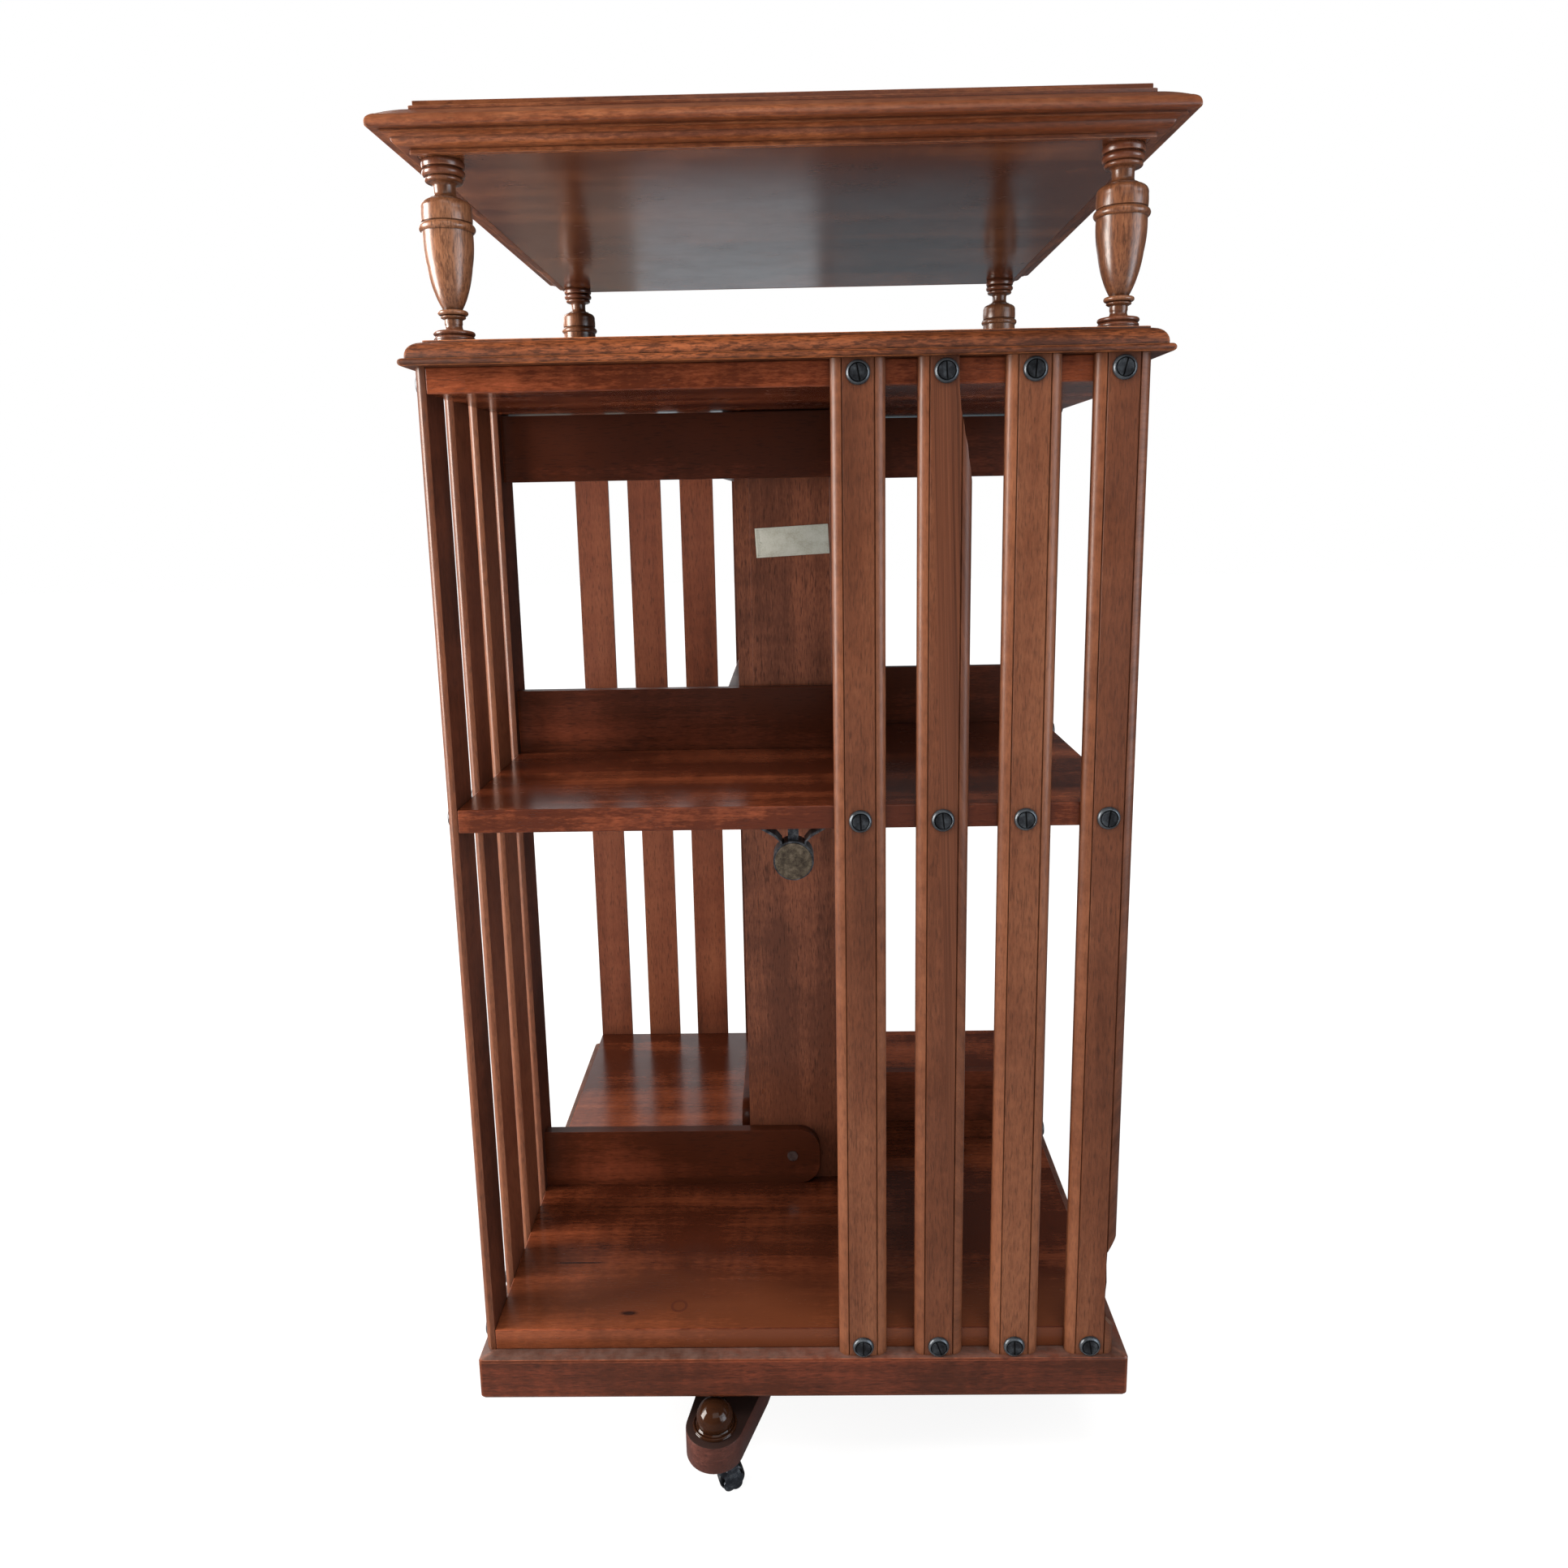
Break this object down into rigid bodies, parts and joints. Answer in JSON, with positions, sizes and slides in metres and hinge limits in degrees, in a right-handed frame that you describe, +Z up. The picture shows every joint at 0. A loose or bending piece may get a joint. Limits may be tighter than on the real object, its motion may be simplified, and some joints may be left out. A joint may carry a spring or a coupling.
{
  "type": "revolving bookcase",
  "caption": "Square two-tier wooden bookcase with slatted faces and a raised table top, turning on a post in a cross foot on castors.",
  "frame": {"origin": "on the floor under the turning axis, at the middle of the cross foot", "axes": "+Z up; the front, the face whose right half has slats as seen from the front, looks along -Y; +X to the right of someone facing it"},
  "size_m": [0.5254, 0.5254, 0.9835],
  "materials": {
    "case_wood": "satin french polish, red-brown mahogany",
    "slat_wood": "satin french polish, red-brown mahogany",
    "column_wood": "satin polish, red-brown mahogany",
    "table_wood": "glossy polish, red-brown mahogany",
    "turned_wood": "glossy polish, dark mahogany",
    "foot_wood": "satin polish, dark mahogany",
    "inner_wood": "bare",
    "screw_steel": "dark patina",
    "castor_iron": "dark, worn bright at the edges",
    "button_bronze": "dark aged bronze",
    "bearing_brass": "turned",
    "post_steel": "turned, oiled"
  },
  "bodies": {
    "stand": {"foot_bar_lower": "foot_wood", "foot_bar_upper": "foot_wood", "foot_knobs": "turned_wood", "post": "post_steel", "post_flange": "castor_iron", "flange_screws": "screw_steel", "castor_plates": "castor_iron"},
    "castor_1": {"castor_fork_1": "castor_iron"},
    "wheel_1": {"castor_wheel_1": "castor_iron"},
    "castor_2": {"castor_fork_2": "castor_iron"},
    "wheel_2": {"castor_wheel_2": "castor_iron"},
    "castor_3": {"castor_fork_3": "castor_iron"},
    "wheel_3": {"castor_wheel_3": "castor_iron"},
    "castor_4": {"castor_fork_4": "castor_iron"},
    "wheel_4": {"castor_wheel_4": "castor_iron"},
    "case": {"balusters": "turned_wood", "rail_screws": "screw_steel", "slat_screws": "screw_steel", "plinth_front": "case_wood", "plinth_left": "case_wood", "plinth_back": "case_wood", "plinth_right": "case_wood", "bottom_shelf": "case_wood", "middle_shelf": "case_wood", "top_shelf": "case_wood", "deck": "case_wood", "long_rails": "case_wood", "short_rails": "case_wood", "column_front": "column_wood", "column_left": "column_wood", "column_back": "column_wood", "column_right": "column_wood", "slat_front_1": "slat_wood", "slat_front_2": "slat_wood", "slat_front_3": "slat_wood", "slat_front_4": "slat_wood", "slat_left_1": "slat_wood", "slat_left_2": "slat_wood", "slat_left_3": "slat_wood", "slat_left_4": "slat_wood", "slat_back_1": "slat_wood", "slat_back_2": "slat_wood", "slat_back_3": "slat_wood", "slat_back_4": "slat_wood", "slat_right_1": "slat_wood", "slat_right_2": "slat_wood", "slat_right_3": "slat_wood", "slat_right_4": "slat_wood", "pivot_block": "inner_wood", "guide_block": "inner_wood", "pivot_cup": "bearing_brass", "guide_bush": "bearing_brass", "table_top": "table_wood", "table_moulding": "table_wood", "round_button": "button_bronze", "button_strap": "button_bronze"}
  },
  "joints": [
    {"name": "case_turn", "type": "hinge", "parent": "stand", "child": "case", "pos_m": [0, 0, 0.7745], "axis": [0, 0, 1], "continuous": true},
    {"name": "castor_1_swivel", "type": "hinge", "parent": "stand", "child": "castor_1", "pos_m": [0.24066, -0.06584, 0.035], "axis": [0, 0, 1], "continuous": true},
    {"name": "castor_1_roll", "type": "hinge", "parent": "castor_1", "child": "wheel_1", "pos_m": [0.25099, -0.06207, 0.01], "axis": [0.342, -0.9397, 0], "continuous": true},
    {"name": "castor_2_swivel", "type": "hinge", "parent": "stand", "child": "castor_2", "pos_m": [0.06584, 0.24066, 0.035], "axis": [0, 0, 1], "continuous": true},
    {"name": "castor_2_roll", "type": "hinge", "parent": "castor_2", "child": "wheel_2", "pos_m": [0.07617, 0.24442, 0.01], "axis": [0.342, -0.9397, 0], "continuous": true},
    {"name": "castor_3_swivel", "type": "hinge", "parent": "stand", "child": "castor_3", "pos_m": [-0.24066, 0.06584, 0.035], "axis": [0, 0, 1], "continuous": true},
    {"name": "castor_3_roll", "type": "hinge", "parent": "castor_3", "child": "wheel_3", "pos_m": [-0.23032, 0.0696, 0.01], "axis": [0.342, -0.9397, 0], "continuous": true},
    {"name": "castor_4_swivel", "type": "hinge", "parent": "stand", "child": "castor_4", "pos_m": [-0.06584, -0.24066, 0.035], "axis": [0, 0, 1], "continuous": true},
    {"name": "castor_4_roll", "type": "hinge", "parent": "castor_4", "child": "wheel_4", "pos_m": [-0.0555, -0.23689, 0.01], "axis": [0.342, -0.9397, 0], "continuous": true}
  ]
}
